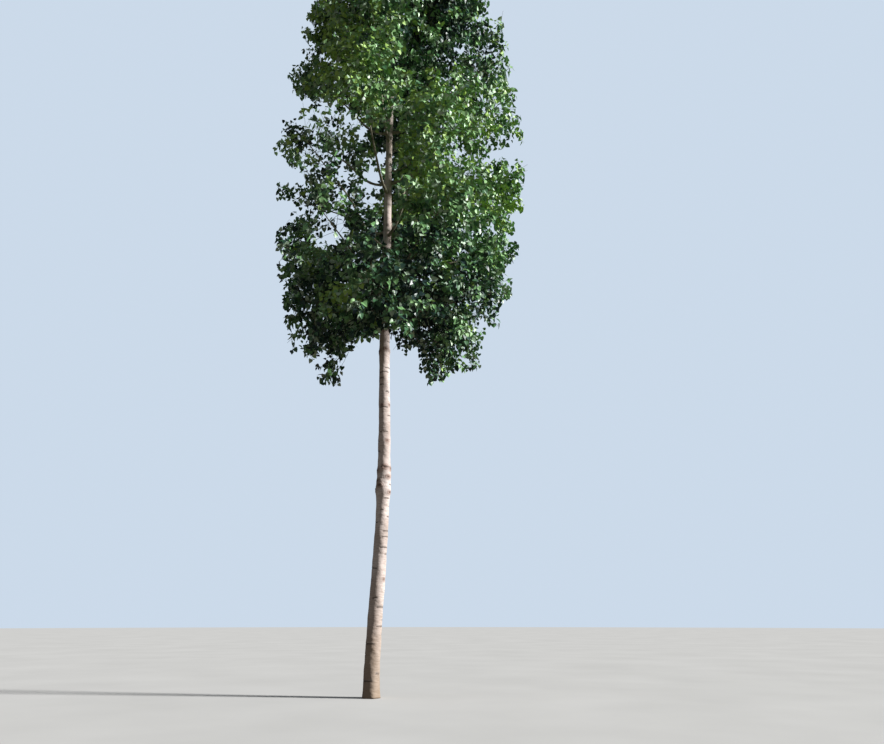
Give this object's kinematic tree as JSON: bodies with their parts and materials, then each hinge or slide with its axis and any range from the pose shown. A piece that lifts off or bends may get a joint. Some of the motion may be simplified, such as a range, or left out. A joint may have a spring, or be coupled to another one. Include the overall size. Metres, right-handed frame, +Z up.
{
  "type": "poplar tree",
  "caption": "Whole upright poplar tree in summer leaf: a straight pale trunk with a clear bole, rising boughs and a tall narrow crown of leaf masses.",
  "frame": {"origin": "middle of the flat cut under the trunk, at ground level", "axes": "+Z up the trunk to the leader's tip, +X to the right as seen in the picture, +Y away from its camera"},
  "size_m": [6.3541, 6.5512, 21.9317],
  "materials": {
    "trunk_bark": "smooth pale cream bark with thin dark level lines and branch scars, matt",
    "bough_bark": "smooth grey-green young bark, matt",
    "foliage": "leathery green leaves, darker and glossier above than below"
  },
  "bodies": {
    "root": {"trunk": "trunk_bark", "bough_1_1": "bough_bark", "bough_1_2": "bough_bark", "bough_1_3": "bough_bark", "bough_1_4": "bough_bark", "bough_1_5": "bough_bark", "bough_2_1": "bough_bark", "bough_2_2": "bough_bark", "bough_2_3": "bough_bark", "bough_2_4": "bough_bark", "bough_2_5": "bough_bark", "bough_3_1": "bough_bark", "bough_3_2": "bough_bark", "bough_3_3": "bough_bark", "bough_3_4": "bough_bark", "bough_3_5": "bough_bark", "bough_4_1": "bough_bark", "bough_4_2": "bough_bark", "bough_4_3": "bough_bark", "bough_4_4": "bough_bark", "bough_5_1": "bough_bark", "bough_5_2": "bough_bark", "bough_5_3": "bough_bark", "bough_5_4": "bough_bark", "foliage_1_1": "foliage", "foliage_1_2": "foliage", "foliage_1_3": "foliage", "foliage_1_4": "foliage", "foliage_1_5": "foliage", "foliage_2_1": "foliage", "foliage_2_2": "foliage", "foliage_2_3": "foliage", "foliage_2_4": "foliage", "foliage_2_5": "foliage", "foliage_3_1": "foliage", "foliage_3_2": "foliage", "foliage_3_3": "foliage", "foliage_3_4": "foliage", "foliage_3_5": "foliage", "foliage_4_1": "foliage", "foliage_4_2": "foliage", "foliage_4_3": "foliage", "foliage_4_4": "foliage", "foliage_5_1": "foliage", "foliage_5_2": "foliage", "foliage_5_3": "foliage", "foliage_5_4": "foliage", "foliage_inner_1": "foliage", "foliage_inner_2": "foliage", "foliage_inner_3": "foliage", "foliage_inner_4": "foliage", "foliage_leader": "foliage", "foliage_upper_1_1": "foliage", "foliage_upper_1_2": "foliage", "foliage_upper_1_3": "foliage", "foliage_upper_2_1": "foliage", "foliage_upper_2_2": "foliage", "foliage_upper_2_3": "foliage", "foliage_upper_3_1": "foliage", "foliage_upper_3_2": "foliage"}
  },
  "joints": []
}
